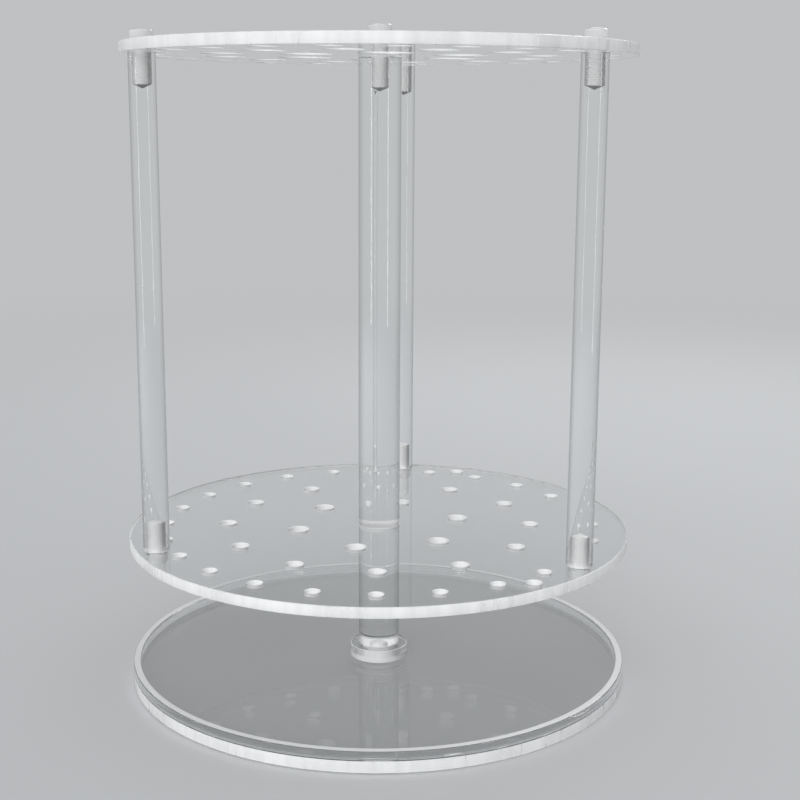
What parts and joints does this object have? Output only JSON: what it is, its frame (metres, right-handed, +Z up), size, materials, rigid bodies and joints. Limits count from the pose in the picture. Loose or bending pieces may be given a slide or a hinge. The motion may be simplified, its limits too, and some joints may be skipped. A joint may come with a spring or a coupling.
{
  "type": "pipette carousel stand",
  "caption": "Clear acrylic carousel that holds pipettes upright: a drilled top plate and tip plate on a turning post above a round drip tray.",
  "frame": {"origin": "on the turning axis, at the underside of the base disc", "axes": "+Z up the centre post; +X through a hole of the tip plate's outer and middle rings"},
  "size_m": [0.24, 0.24, 0.3095],
  "materials": {
    "clear_acrylic": "polished clear",
    "screw_plastic": "clear moulded"
  },
  "bodies": {
    "base": {"base_disc": "clear_acrylic", "base_rim": "clear_acrylic", "pivot_collar": "clear_acrylic"},
    "carousel": {"centre_post": "clear_acrylic", "tip_plate": "clear_acrylic", "top_plate": "clear_acrylic", "support_rod_left": "clear_acrylic", "support_rod_right": "clear_acrylic", "support_rod_back": "clear_acrylic", "top_screw_left": "screw_plastic", "top_screw_right": "screw_plastic", "top_screw_back": "screw_plastic", "top_screw_centre": "screw_plastic", "bottom_screw_left": "screw_plastic", "bottom_screw_right": "screw_plastic", "bottom_screw_back": "screw_plastic", "pivot_screw": "screw_plastic"}
  },
  "joints": [
    {"name": "carousel_turn", "type": "hinge", "parent": "base", "child": "carousel", "pos_m": [0, 0, 0.012], "axis": [0, 0, 1], "continuous": true}
  ]
}
